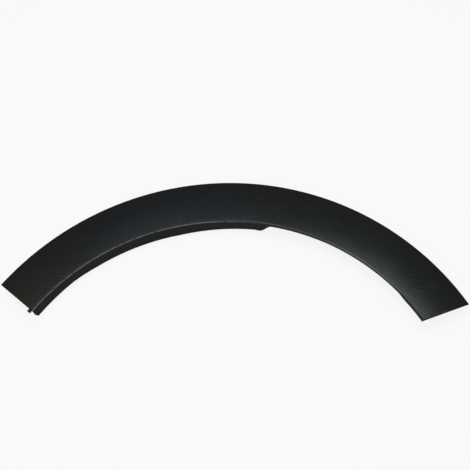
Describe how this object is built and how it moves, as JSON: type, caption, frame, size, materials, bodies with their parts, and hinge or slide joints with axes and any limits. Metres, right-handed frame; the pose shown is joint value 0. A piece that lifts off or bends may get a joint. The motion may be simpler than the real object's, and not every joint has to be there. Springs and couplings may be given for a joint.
{
  "type": "wheel arch trim",
  "caption": "Curved moulded trim band for the edge of a car's wheel opening, with a crowned face, an inner flange and push-in retaining clips behind.",
  "frame": {"origin": "middle of the outline, at the level that the clips' tips and the deepest flange edge stand on", "axes": "+X along the trim from its left end to its right end, +Y towards the top of the arch, +Z out of the visible face, away from the car body"},
  "size_m": [0.7068, 0.24, 0.0305],
  "materials": {
    "moulded_black": "fine moulded grain, satin",
    "clip_nylon": "natural nylon"
  },
  "bodies": {
    "root": {"trim_moulding": "moulded_black", "retaining_clips": "clip_nylon"}
  },
  "joints": []
}
